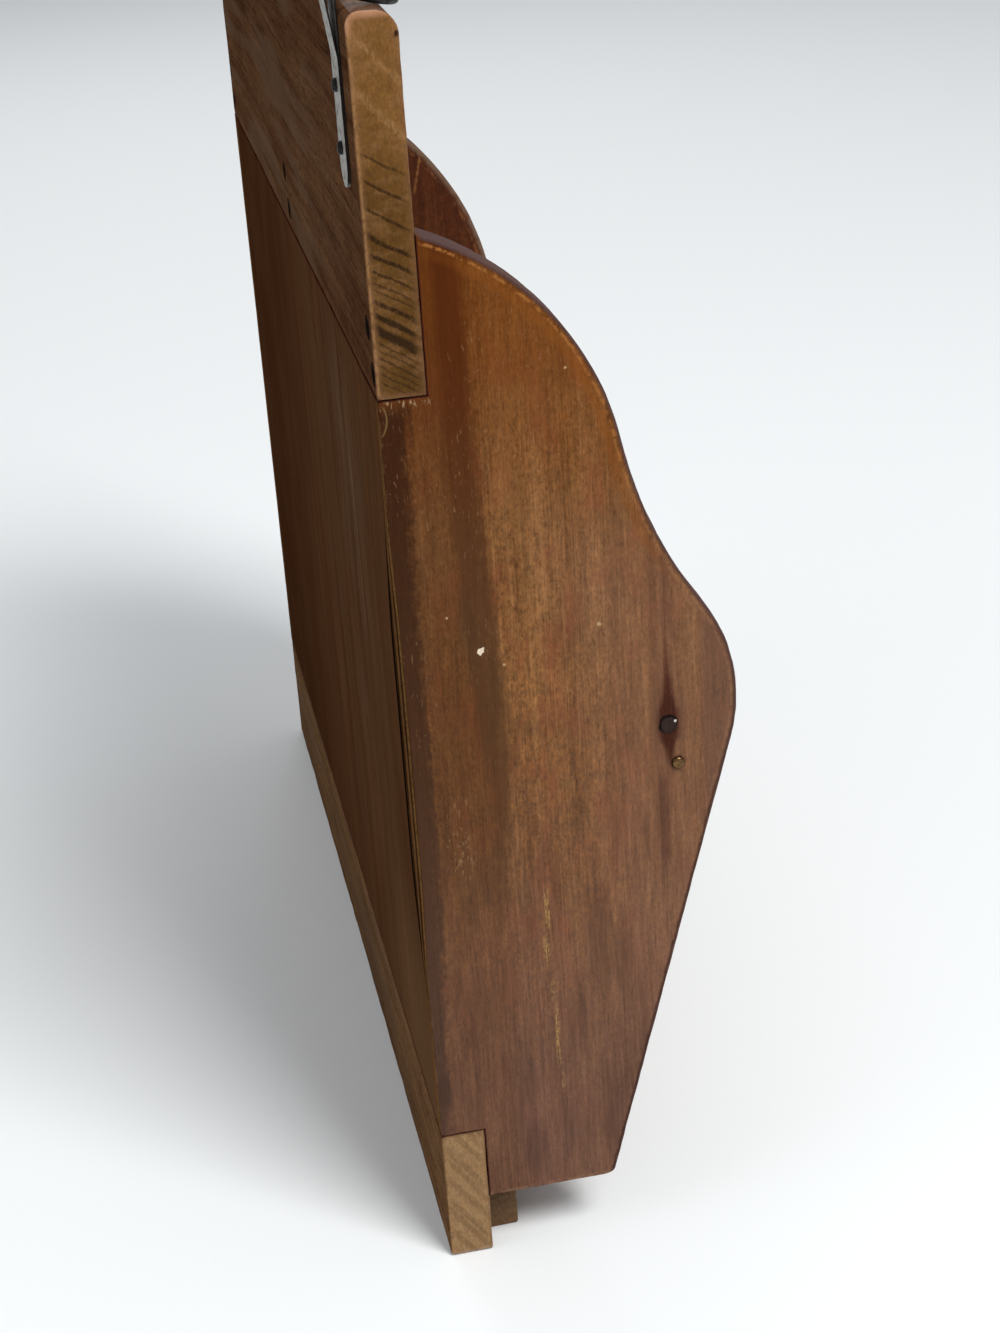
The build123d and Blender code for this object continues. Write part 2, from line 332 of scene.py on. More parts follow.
def side_board(name, x, outward, seed, materials, extra_cuts=()):
    """An outer board with its lip beside the back sheet. outward is -1 on the left and 1 on the right."""
    bm, tree = vertical_board(x, 0, 1.2)
    inner = x + board_thickness if outward < 0 else x
    lip = (left_end + side_lip) * -outward
    recess_low, recess_high = sorted((lip, inner - outward))
    recess = block((recess_low, -panel_thickness, bottom_rail_height), (recess_high, 1, top_rail_bottom))
    bm = cut_away(bm, recess)
    slice_up(bm, 0, [x + 2.2, x + 4.75, x + 7.3])
    slice_up(bm, 1, [-d for d in steps(0, 91, 2.6)] + [-0.9, -1.9])
    slice_up(bm, 2, steps(board_bottom, board_top, 2.6))
    for axis, values in extra_cuts:
        slice_up(bm, axis, values)
    if outward < 0:
        for v in bm.verts:
            if v.co.y > -panel_thickness - 0.01 and bottom_rail_height < v.co.z < top_rail_bottom:
                across = ease((v.co.x - left_end) / side_lip) if v.co.x < lip + 0.01 else 0.0
                v.co.x += lip_spread * swell(v.co.z) * across
                v.co.y += 0.5 * swell(v.co.z) * across * (1 + v.co.y / panel_thickness)
                slanting = 1 - (v.co.x - left_end) / 3.0
                v.co.y = min(v.co.y, -lip_wear * swell(v.co.z) * slanting + 0.5 * (1 - swell(v.co.z)))
    wear(bm, tree, 0.3, 0.05, seed)
    dull_back(bm)
    return set_piece(
        name, bm, "organizer", ["left_side" if outward < 0 else "right_side"], materials,
    )


def finish_rail(rail, tree, levels, dent, seed):
    """Cuts a rail up, wears it and dulls its back."""
    slice_up(rail, 0, steps(left_end, -left_end, 4.0) + near_steps(left_end, -left_end))
    slice_up(rail, 1, [-0.9, -1.9, -3.8, -rail_thickness / 2, -8.9, -10.8, -11.8])
    slice_up(rail, 2, levels)
    wear(rail, tree, dent, 0.06, seed)
    dull_back(rail)


# Materials
class Paint:
    """Short names for the shader nodes of one material."""

    def __init__(self, name):
        self.material = bpy.data.materials.new(name)
        self.material.use_nodes = True
        self.tree = self.material.node_tree
        self.shader = self.tree.nodes["Principled BSDF"]
        place = self.tree.nodes.new("ShaderNodeTexCoord")
        self.mm = self.vector("SCALE", place.outputs["Object"], scale=1 / MM)
        parts = self.node("ShaderNodeSeparateXYZ", {0: self.mm})
        self.x, self.y, self.z = parts.outputs
        self.depth = self.math("MULTIPLY", self.y, -1.0)

    def node(self, kind, inputs=None, **settings):
        made = self.tree.nodes.new(kind)
        for key, value in settings.items():
            setattr(made, key, value)
        for key, value in (inputs or {}).items():
            self.put(made.inputs[key], value)
        return made

    def put(self, socket, value):
        if isinstance(value, bpy.types.NodeSocket):
            self.tree.links.new(value, socket)
        elif socket.type == "VECTOR":
            socket.default_value = value[:3]
        else:
            socket.default_value = value

    def math(self, operation, a, b=None):
        made = self.node("ShaderNodeMath", {0: a}, operation=operation)
        if b is not None:
            self.put(made.inputs[1], b)
        return made.outputs[0]

    def absolute(self, value):
        return self.math("ABSOLUTE", value)

    def add(self, *values):
        return reduce(lambda a, b: self.math("ADD", a, b), values)

    def times(self, *values):
        return reduce(lambda a, b: self.math("MULTIPLY", a, b), values)

    def most(self, a, b):
        return self.math("MAXIMUM", a, b)

    def minus(self, a, b):
        return self.math("SUBTRACT", a, b)

    def vector(self, operation, a, b=None, scale=None):
        made = self.node("ShaderNodeVectorMath", {0: a}, operation=operation)
        if b is not None:
            self.put(made.inputs[1], b)
        if scale is not None:
            self.put(made.inputs["Scale"], scale)
        return made.outputs["Value" if operation in ("LENGTH", "DISTANCE", "DOT_PRODUCT") else "Vector"]

    def join(self, x, y, z):
        return self.node("ShaderNodeCombineXYZ", {0: x, 1: y, 2: z}).outputs[0]

    def span(self, across, upwards):
        """Length of a step with these two parts."""
        return self.vector("LENGTH", self.join(across, upwards, 0.0))

    def noise(self, place, stretch, detail=2.0, rough=0.5, twist=0.0, shift=0.0):
        place = self.vector("MULTIPLY", place, stretch)
        if shift:
            place = self.vector("ADD", place, (shift, shift * 1.3, shift * 0.7))
        return self.node(
            "ShaderNodeTexNoise",
            {"Vector": place, "Scale": 1.0, "Detail": detail, "Roughness": rough, "Distortion": twist},
        ).outputs[0]

    def fit(self, value, low, high, to_low=0.0, to_high=1.0, smooth=True):
        """Maps a range to another and stops at its ends."""
        return self.node(
            "ShaderNodeMapRange", {0: value, 1: low, 2: high, 3: to_low, 4: to_high},
            interpolation_type="SMOOTHSTEP" if smooth else "LINEAR", clamp=True,
        ).outputs[0]

    def fall(self, value, low, high, top=1.0):
        """Falls from the top to nothing between two values."""
        return self.fit(value, low, high, top, 0.0)

    def band(self, value, low, high, soft):
        """One between two values, with soft ends."""
        return self.times(self.fit(value, low - soft, low + soft), self.fall(value, high - soft, high + soft))

    def line(self, value, middle, half):
        """One on a thin line at a value, which may itself be a socket."""
        return self.fall(self.absolute(self.minus(value, middle)), 0.0, half)

    def curve(self, value, *points):
        """Straight runs through (value, result) points."""
        low, high = points[0][0], points[-1][0]
        share = self.fit(value, low, high, smooth=False)
        made = self.node("ShaderNodeFloatCurve", {"Value": share})
        spots = made.mapping.curves[0].points
        top = max(abs(p[1]) for p in points) or 1.0
        for i, (at, result) in enumerate(points):
            spot = ((at - low) / (high - low), 0.5 + 0.5 * result / top)
            if i == 0:
                spots[0].location = spot
            elif i == len(points) - 1:
                spots[-1].location = spot
            else:
                spots.new(*spot)
        made.mapping.update()
        return self.times(self.minus(made.outputs[0], 0.5), 2.0 * top)

    def mix(self, share, a, b):
        inputs = {0: share, 6: a, 7: b}
        return self.node("ShaderNodeMix", inputs, data_type="RGBA", clamp_factor=True).outputs[2]

    def stain(self, color, *shares):
        """Lays a colour over the one so far, as strongly as the shares say when multiplied."""
        self.color = self.mix(self.times(*shares), self.color, color)

    def vary(self, color, noise, amount):
        """Makes a colour lighter and darker with a noise that lies round nothing."""
        return self.vector("SCALE", color, scale=self.add(1.0, self.times(noise, amount)))

    def frayed(self, value, amount):
        """A value made uneven by the wood's mottle, so that an edge drawn with it is ragged."""
        return self.add(value, self.times(self.loose, amount))

    def ramp(self, share, *stops):
        made = self.node("ShaderNodeValToRGB", {0: share})
        spots = made.color_ramp.elements
        for i, (at, color) in enumerate(stops):
            spot = spots[i] if i < 2 else spots.new(at)
            spot.position = at
            spot.color = color
        return made.outputs[0]

    def sideways(self):
        """How much the surface faces left or right."""
        normal = self.node("ShaderNodeNewGeometry").outputs["Normal"]
        return self.absolute(self.vector("DOT_PRODUCT", normal, (1.0, 0.0, 0.0)))

    def rim(self):
        """Distance to the nearest edge in millimetres, up to the reach."""
        made = self.node("ShaderNodeAttribute", attribute_name="rim")
        return self.times(made.outputs["Fac"], rim_reach)

    def finish(self, color, roughness, height_map=None, depth_mm=0.1, metal=0.0, specular=0.5):
        self.put(self.shader.inputs["Base Color"], color)
        self.put(self.shader.inputs["Roughness"], roughness)
        self.shader.inputs["Metallic"].default_value = metal
        self.shader.inputs["Specular IOR Level"].default_value = specular
        if height_map is not None:
            bump = self.node(
                "ShaderNodeBump", {"Height": height_map, "Strength": 1.0, "Distance": depth_mm * MM},
            )
            self.put(self.shader.inputs["Normal"], bump.outputs[0])
        return self.material


def tone(red, green, blue):
    """A colour written as screen values from 0 to 255."""
    def linear(value):
        value /= 255
        return value / 12.92 if value <= 0.04045 else ((value + 0.055) / 1.055) ** 2.4
    return (linear(red), linear(green), linear(blue), 1.0)


def grain_place(p, grain):
    """Coordinates with the grain along the last axis."""
    return {"z": p.mm, "x": p.join(p.y, p.z, p.x)}[grain]


def wood(name, grain, pale, middle, dark, seed, marks, shine=0.44, specular=0.1, contrast=1.0):
    """Old stained softwood: growth streaks, fibres, pores, cloudy stain and the marks of its own."""
    p = Paint(name)
    place = grain_place(p, grain)
    drift = p.noise(place, (0.02, 0.02, 0.006), detail=1, shift=seed)
    p.grown = p.vector("ADD", place, p.join(p.times(drift, 9.0), p.times(drift, -7.0), 0.0))
    broad = p.noise(p.grown, (0.13, 0.13, 0.004), detail=2, shift=seed + 3)
    p.streak = p.noise(p.grown, (0.7, 0.7, 0.012), detail=3, rough=0.6, shift=seed + 5)
    p.fibre = p.noise(p.grown, (1.5, 1.5, 0.05), detail=4, rough=0.7, shift=seed + 9)
    p.cloud = p.noise(p.mm, (0.03, 0.03, 0.02), detail=3, rough=0.55, shift=seed + 13)
    p.mottle = p.noise(p.mm, (0.5, 0.5, 0.36), detail=4, rough=0.7, shift=seed + 17)
    p.speckle = p.noise(p.mm, (1.6, 1.6, 0.9), detail=2, rough=0.6, shift=seed + 19)
    p.wobble, p.loose = p.add(p.streak, -0.5), p.add(p.mottle, -0.5)
    mixed = p.add(p.times(broad, 0.44), p.times(p.streak, 0.3), p.times(p.cloud, 0.26))
    p.color = p.ramp(p.fit(mixed, 0.34, 0.66, smooth=False), (0.0, dark), (1.0, pale), (0.5, middle))
    light = p.add(
        1.0, p.times(p.add(p.fibre, -0.5), 0.85 * contrast), p.times(p.add(p.speckle, -0.5), 1.0 * contrast),
        p.times(p.loose, 1.1 * contrast),
    )
    p.color = p.vector("SCALE", p.color, scale=light)
    pores = p.fit(p.noise(p.grown, (2.0, 2.0, 0.12), detail=2, shift=seed + 21), 0.6, 0.74)
    p.stain(tuple(c * 0.3 for c in dark[:3]) + (1.0,), pores, 0.3)
    flecks = p.fit(p.noise(p.grown, (1.9, 1.9, 0.5), detail=1, shift=seed + 27), 0.68, 0.78)
    p.stain(tuple(min(1.0, c * 1.9) for c in pale[:3]) + (1.0,), flecks, p.fit(p.cloud, 0.4, 0.6), 0.28)
    p.relief = p.add(
        p.times(p.fibre, 0.6), p.times(p.streak, 0.3), p.times(pores, -0.7), p.times(p.speckle, 0.3),
    )
    p.rough = p.add(shine, p.times(p.mottle, 0.12), p.times(pores, 0.2), p.times(p.cloud, 0.08))
    marks(p)
    p.stain(tone(58, 18, 12), joint_lines(p), 0.8)
    return p.finish(p.color, p.rough, p.relief, 0.1, specular=specular)


def joint_lines(p):
    """One along the joints of the rails with the boards and the sheet, where dirt has gathered."""
    def dark(off, half):
        return p.fall(p.math("DIVIDE", p.absolute(off), half), 0.35, 1.0)
    soft = p.frayed(0.5, 1.2)
    ends = p.fit(p.absolute(p.x), -left_end - 1.4, -left_end - 0.5)
    back = p.fall(p.depth, 0.5, 1.3)
    notch = p.most(ends, back)
    lines = []
    for level, low_front, high_front in (
        (top_rail_bottom, top_rail_bottom, board_top + 0.5),
        (bottom_rail_height, board_bottom, bottom_rail_height),
    ):
        under = dark(p.add(p.z, -level), p.add(soft, p.times(back, 0.55)))
        lines.append(p.times(under, p.fall(p.depth, 13.0, 13.4), notch))
        before = dark(p.add(p.depth, -rail_thickness), soft)
        lines.append(p.times(before, p.band(p.z, low_front, high_front, 0.2), ends))
    return reduce(p.most, lines)


def worn_edges(p, share=0.45, reach=1.5):
    """Rubs the edges of a board pale."""
    worn = p.fall(p.add(p.frayed(p.rim(), 3.0), p.times(p.wobble, -1.2)), 0.0, reach, share)
    p.stain(rubbed_edge, worn)
    p.rough = p.add(p.rough, p.times(worn, 0.12))


side_pale = tone(134, 92, 55)
side_middle = tone(115, 75, 41)
side_dark = tone(88, 53, 26)
rubbed_edge = tone(150, 116, 84)

# Stains on the near side: depth, height, half sizes, strength and tone
side_stains = (
    (49.5, 103, 4.5, 20, 0.5, tone(74, 50, 40)), (56.0, 93, 3.5, 14, 0.35, tone(76, 52, 42)),
    (43.0, 76, 4.5, 15, 0.35, tone(76, 52, 42)), (25.5, 54, 4.5, 16, 0.3, tone(72, 47, 44)),
    (27.5, 34, 4.5, 12, 0.4, tone(68, 44, 42)), (51.5, 40, 4.0, 15, 0.34, tone(70, 50, 44)),
    (15.0, 120, 5.0, 16, 0.14, tone(72, 52, 38)), (14.0, 86, 5.0, 14, 0.2, tone(80, 56, 42)),
    (35.0, 123, 5.0, 14, 0.4, tone(112, 66, 50)), (43.0, 115, 3.0, 14, 0.25, tone(128, 92, 62)),
    (2.8, 59, 2.2, 8, 0.6, tone(46, 34, 28)), (22.5, 128, 3.5, 14, 0.35, tone(72, 50, 34)),
    (37.5, 96, 3.0, 12, 0.3, tone(128, 88, 64)), (18.5, 203, 3.5, 14, 0.35, tone(60, 46, 32)),
    (16.5, 46, 5.0, 16, 0.3, tone(124, 86, 66)), (38.0, 41, 5.0, 12, 0.24, tone(80, 56, 48)),
)


def away_from(p, depth, z, stretch=1.0):
    """Distance on the side's face from a place on it."""
    return p.span(p.times(p.add(p.depth, -depth), stretch), p.add(p.z, -z))


def front_away(p):
    """Distance behind the curved and slanted front edge of a vertical board."""
    def off_centre(centre):
        return away_from(p, centre.x, centre.y)
    shoulder = p.minus(shoulder_radius, off_centre(shoulder_centre))
    neck = p.add(off_centre(neck_centre), -neck_radius)
    belly = p.minus(belly_radius, off_centre(belly_centre))
    behind = p.add(p.times(p.z, tan(radians(slant))), slant_depth(0), p.times(p.depth, -1.0))
    away = p.times(behind, cos(radians(slant)))
    for start, part in ((slant_top, belly), (belly_start, neck), (neck_start, shoulder)):
        above = p.fit(p.z, start.y - 0.5, start.y + 0.5)
        away = p.add(p.times(p.minus(1.0, above), away), p.times(above, part))
    return away


def clouded(p, grain="z"):
    """Olive and reddish clouds, small brown blots and pale threads along the grain of a stained board."""
    place = grain_place(p, grain)
    for seed, low_end, high_end, share, stain in (
        (37.0, 0.5, 0.68, 0.36, tone(84, 60, 36)), (41.0, 0.48, 0.66, 0.5, tone(122, 65, 40)),
        (43.0, 0.54, 0.7, 0.34, tone(136, 98, 58)),
    ):
        veil = p.noise(place, (0.1, 0.1, 0.055), detail=4, rough=0.62, shift=seed)
        p.stain(stain, p.fit(veil, low_end, high_end), share)
    blots = p.fit(p.noise(place, (0.75, 0.75, 0.6), detail=3, rough=0.6, shift=51.0), 0.56, 0.68)
    p.stain(tone(70, 43, 21), blots, 0.34)
    threads = p.fit(p.noise(place, (2.0, 2.0, 0.035), detail=2, rough=0.6, shift=57.0), 0.57, 0.7)
    p.stain(tone(154, 112, 74), threads, 0.3)


def near_side_marks_and_light(p):
    """What the left side shows: its bands, knot, nail, chip, scratches and worn edges, with painted
    highlights on the knot and the arris and a painted reflection on the front edge.
    """
    depth, z = p.depth, p.z
    outer = p.fall(p.x, left_end + 0.5, left_end + 3.5)
    grainy = p.add(p.times(p.add(p.fibre, -0.5), 2.0), p.times(p.add(p.speckle, -0.5), 1.4))
    d = p.frayed(p.add(depth, p.times(p.wobble, 3.0)), 1.6)

    clouded(p)

    # Golden above, purple below, darker towards the back
    golden = p.vary(p.mix(0.14, tone(102, 52, 3), p.color), grainy, 0.3)
    p.stain(golden, p.fit(p.frayed(z, 40), 215, 290), 0.84)
    p.stain(p.vary(tone(108, 78, 66), grainy, 0.34), p.fall(p.frayed(z, 90), 40, 200), 0.74)
    pink = p.times(p.fit(p.frayed(p.add(depth, p.times(z, 0.12)), 8.0), 56, 84), p.band(z, 50, 225, 24))
    p.stain(p.vary(tone(126, 90, 70), grainy, 0.34), pink, 0.44)
    shade = p.times(p.fall(p.frayed(d, 3.0), 20, 29), p.fit(z, 90, 165, 0.3, 0.62))
    brown = p.vary(p.mix(p.fit(z, 215, 285), tone(80, 47, 22), tone(76, 34, 2)), grainy, 0.3)
    p.stain(brown, shade)
    patches = p.times(p.fit(p.add(p.cloud, p.times(p.streak, 0.5)), 0.78, 0.9), p.fall(z, 60, 130))
    p.stain(tone(74, 47, 37), patches, 0.5)
    p.stain(tone(76, 52, 43), p.fit(p.add(depth, p.times(z, 0.12)), 50, 66), p.fall(z, 60, 100), 0.3)

    for at_depth, at_z, half_depth, half_z, share, stain in side_stains:
        across = p.times(p.add(d, -at_depth), 1 / half_depth)
        upwards = p.times(p.frayed(p.add(z, -at_z), 14.0), 1 / half_z)
        p.stain(stain, p.fall(p.span(across, upwards), 0.35, 1.15), share, p.add(0.8, grainy))

    # Raised grain, plainest low down
    ribs = p.noise(p.mm, (0.85, 0.85, 0.06), detail=4, rough=0.62, twist=0.2, shift=67.0)
    flames = p.noise(p.mm, (0.28, 0.28, 0.045), detail=3, rough=0.6, twist=0.4, shift=73.0)
    figure = p.add(p.times(p.add(ribs, -0.5), 0.85), p.times(p.add(flames, -0.5), 0.7))
    p.color = p.vector("SCALE", p.color, scale=p.add(1.0, p.times(figure, p.fit(z, 120, 240, 1.0, 0.6))))

    # Dark stripe along the back edge, and the brown band beside the rail
    stripe_end = p.curve(z, (45, 2.6), (60, 3.2), (100, 5.0), (150, 6.4), (250, 6.8), (264, 8.5))
    ragged_stripe = p.frayed(p.minus(d, stripe_end), 4.5)
    stripe = p.times(p.fall(ragged_stripe, -2.2, 1.8), p.band(z, 42, 265, 3))
    stripe_tone = p.ramp(
        p.fit(z, 60, 250), (0.0, tone(68, 48, 38)), (1.0, tone(44, 20, 6)), (0.5, tone(60, 38, 25)),
    )
    p.stain(p.vary(stripe_tone, grainy, 0.3), stripe, p.add(0.8, p.times(grainy, 0.2)))
    band_place = p.curve(
        z, (110, 24.0), (150, 24.5), (170, 23.8), (200, 22.5), (240, 20.0), (300, 19.0), (310, 19.0),
    )
    band_half = p.curve(z, (110, 1.0), (150, 2.6), (170, 4.0), (200, 4.1), (240, 4.1), (300, 3.4), (310, 3.2))
    off = p.absolute(p.minus(d, band_place))
    band = p.times(p.fall(p.minus(off, band_half), -1.8, 1.6), p.fit(z, 112, 165))
    band_tone = p.mix(p.fit(z, 185, 285), tone(72, 46, 26), tone(72, 29, 2))
    p.stain(band_tone, band, p.add(0.68, p.times(grainy, 0.3)))
    p.stain(tone(94, 67, 55), p.band(p.frayed(d, 2.0), 81.5, 93, 1.2), p.band(z, 128, 205, 14), 0.5)
    p.stain(tone(82, 52, 39), p.band(d, 67.0, 69.5, 0.9), p.band(z, 118, 235, 12), 0.34)

    # The knot with its halo and streak, and a painted highlight on it
    knot_depth, knot_z = 71.6, 165.3
    halo_half = p.curve(
        z, (150, 0.2), (157, 1.2), (166, 3.1), (173, 2.0), (180, 1.0), (190, 0.3), (205, 0.1), (222, 0.0),
    )
    halo_away = p.absolute(p.frayed(p.add(depth, -knot_depth, p.times(p.wobble, 1.8)), 0.8))
    halo_edge = p.minus(halo_away, halo_half)
    p.stain(tone(90, 60, 49), p.fall(halo_edge, -1.0, 3.2), p.band(z, 150, 222, 8), outer, 0.5)
    halo = p.times(p.fall(halo_edge, -1.2, 0.9), p.band(z, 152, 220, 4), outer)
    heart = p.fall(p.frayed(z, 8.0), 170, 190)
    halo_tone = p.mix(heart, tone(76, 37, 26), tone(50, 11, 3))
    p.stain(halo_tone, halo, p.add(0.84, p.times(grainy, 0.2)))
    below = p.fall(p.absolute(p.add(depth, -70.4, p.times(z, 0.005), p.times(p.wobble, 2.5))), 0.9, 2.1)
    p.stain(tone(76, 46, 37), below, p.band(z, 122, 151, 4), outer, 0.6)
    reach = p.frayed(away_from(p, knot_depth, knot_z, 1.05), 1.6)
    knot = p.times(p.fall(reach, 2.3, 2.9), outer)
    p.stain(p.vary(tone(48, 36, 33), grainy, 0.6), knot, 0.95)
    upper = p.fit(p.add(z, -knot_z, p.times(p.add(depth, -knot_depth), -0.5)), -2.4, 1.4, 0.3, 1.0)
    ring = p.times(p.line(reach, 2.6, 0.75), outer, upper)
    p.stain(tone(2, 2, 2), ring)
    # Painted highlight: a bright spot at the knot's upper right, standing in for light reflected there
    knot_highlight = p.times(p.fall(away_from(p, knot_depth + 1.9, knot_z + 0.9), 0.25, 0.5), outer)
    p.stain(tone(224, 216, 206), knot_highlight, 0.85)
    p.relief = p.add(p.relief, p.times(ring, -3.0), p.times(knot, 0.8))

    # A dark ring round the brass nail's head
    nail = away_from(p, brass_depth, brass_height)
    p.stain(tone(35, 14, 3), p.fall(nail, 1.5, 2.5, 0.7), outer)

    # Pale streaks, scratches and a chip
    for low_depth, high_depth, low_z, high_z in (
        (33.6, 34.9, 97, 106), (34.4, 35.6, 108, 119), (35.3, 36.5, 62, 80), (34.9, 35.7, 84, 92),
        (36.4, 37.0, 50, 58),
    ):
        streak = p.times(
            p.band(p.add(depth, p.times(p.wobble, 2.0)), low_depth, high_depth, 0.5),
            p.band(z, low_z, high_z, 3.5), p.fit(p.add(p.fibre, p.times(p.speckle, 0.6)), 0.72, 0.92),
        )
        p.stain(tone(166, 132, 80), streak, 0.75)
    rubs = p.fit(p.noise(p.mm, (1.5, 1.5, 0.4), detail=3, rough=0.7), 0.56, 0.66)
    p.stain(tone(158, 122, 86), p.band(depth, 8.5, 16, 2), p.band(z, 128, 152, 5), rubs, outer, 0.5)
    hair = p.fit(p.noise(p.mm, (1.3, 1.3, 0.35), detail=3, rough=0.7, twist=0.6, shift=23.0), 0.6, 0.68)
    p.stain(tone(142, 106, 74), hair, p.fit(p.cloud, 0.44, 0.58), 0.36, outer)
    p.stain(tone(66, 42, 32), p.band(d, 47.5, 52.5, 1.6), p.band(z, 30, 62, 8), 0.22)
    chip = p.add(p.frayed(away_from(p, 21.4, 195.2, 0.9), 4.0), p.times(grainy, 0.2))
    chip = p.times(p.fall(chip, 0.7, 0.95), outer)
    p.stain(p.vector("SCALE", tone(226, 208, 182), scale=p.add(0.95, p.times(grainy, 0.5))), chip)
    for speck_depth, speck_z, size in (
        (27.6, 190.3, 0.5), (53.6, 198.2, 0.7), (13.2, 206.0, 0.4), (48.0, 270.0, 0.4),
    ):
        speck = p.fall(p.frayed(away_from(p, speck_depth, speck_z), 1.5), size * 0.6, size, 0.8)
        p.stain(tone(174, 147, 109), speck, outer)

    # Edges: a purple-grey front edge, partly its own duller tone and partly a painted grey reflection, a pale
    # broken line on its arris, worn and partly a painted highlight, and rubbed back and bottom corners
    front = p.fit(depth, 12.8, 14.5)
    away = front_away(p)
    on_edge = p.times(p.most(p.fit(p.x, left_end + 0.3, left_end + 0.8), p.fall(away, 0.5, 1.0)), front)
    # Painted reflection in part: the grey cast on the front edge, stronger higher up, stands in for the pale
    # sky reflected on the rounded edge
    p.stain(p.vary(tone(84, 64, 62), grainy, 0.4), on_edge, p.fit(z, 120, 180, 0.6, 0.85))
    ragged = p.add(p.frayed(away, 1.5), p.times(p.wobble, 0.5))
    arris_share = p.curve(
        z, (60, 0.0), (120, 0.06), (165, 0.25), (215, 0.4), (260, 0.66), (300, 0.8), (310, 0.8),
    )
    # Painted highlight in part: the pale line on the arris, strongest high up, is wear plus the light caught
    # by the rounded arris
    arris = p.times(p.line(ragged, 1.75, 0.62), p.fit(p.mottle, 0.4, 0.54), arris_share, outer, front)
    p.stain(p.mix(p.fit(z, 170, 250), tone(150, 112, 84), tone(159, 103, 52)), arris)
    p.stain(tone(48, 28, 23), p.line(ragged, 0.7, 0.7), p.fit(z, 110, 220, 0.75, 0.3), outer, front)
    p.stain(tone(130, 72, 21), p.band(ragged, 2.1, 4.6, 1.0), p.band(z, 215, 302, 12), 0.34, outer, front)
    p.stain(tone(116, 89, 60), p.fall(p.frayed(depth, 2.0), 0.0, 0.9, 0.6), p.fit(p.mottle, 0.5, 0.64), outer)
    bottom_edge = p.fall(p.frayed(z, 3), board_bottom + 0.3, board_bottom + 1.7, 0.7)
    p.stain(tone(139, 109, 84), bottom_edge, p.fit(p.mottle, 0.42, 0.58))
    ticks = p.fit(p.noise(p.mm, (1.4, 1.4, 0.5), detail=2, shift=4.0), 0.53, 0.64)
    scuffs = p.times(p.band(p.frayed(z, 1.5), 264.6, 266.5, 0.7), p.fall(depth, 12, 14), ticks)
    p.stain(tone(164, 136, 101), scuffs, 0.7, outer)
    splinter = p.add(depth, p.times(p.math("POWER", p.add(z, -262.2), 2.0), 0.07), -2.0)
    splinter = p.times(p.line(splinter, 0.0, 0.42), p.band(z, 257.8, 265.4, 0.6), outer)
    p.stain(tone(126, 103, 62), splinter, 0.55)
    fleck = p.fall(p.vector("DISTANCE", p.mm, (left_end + 4.0, -16.2, 307.2)), 0.3, 0.55)
    p.stain(tone(230, 224, 214), fleck)
    p.rough = p.add(p.rough, p.times(on_edge, 0.12), p.times(stripe, 0.06))


def far_side_marks_and_light(p):
    """The right side: clouds, purple below, a purple-grey front edge, partly a painted grey reflection, a
    pale arris line, partly a painted highlight, and worn corners.
    """
    clouded(p)
    p.stain(tone(104, 72, 55), p.fall(p.frayed(p.z, 60), 30, 200, 0.5))
    front = p.fit(p.depth, 12.8, 14.5)
    away = front_away(p)
    on_edge = p.times(p.fall(away, 0.5, 1.0), front)
    # Painted reflection in part: the grey cast on the front edge
    p.stain(tone(88, 66, 62), on_edge, 0.7)
    ragged = p.frayed(away, 1.5)
    # Painted highlight in part: the pale line on the arris
    p.stain(tone(150, 104, 64), p.line(ragged, 1.6, 0.6), p.fit(p.mottle, 0.4, 0.54), front, 0.6)
    p.stain(rubbed_edge, p.fall(p.frayed(p.rim(), 2.2), 0.0, 0.9, 0.5), p.minus(1.0, front))
    p.rough = p.add(p.rough, p.times(on_edge, 0.1))


def lip_marks_and_gap_shade(p):
    """The side's back edge beside the sheet: sawn, with three dark lines along it, partly dark grain and
    partly painted shade of the gap where the sheet bows out, and a pale line.
    """
    place = p.frayed(p.add(p.x, p.times(p.wobble, 0.8)), 0.5)
    reach = p.band(p.z, 82, 225, 16)
    # Painted shade in part: dark lines on the lip and in the recess, only at the heights where the sheet bows
    # away
    for middle, half, share in (
        (left_end + 0.2, 0.5, 0.6), (left_end + 2.3, 0.9, 0.95), (left_end + 5.0, 1.1, 0.95),
    ):
        p.stain(tone(28, 15, 7), p.line(place, middle, half), reach, share)
    p.stain(tone(150, 116, 62), p.line(place, left_end + 1.2, 0.5), p.fit(p.speckle, 0.42, 0.6), 0.5)


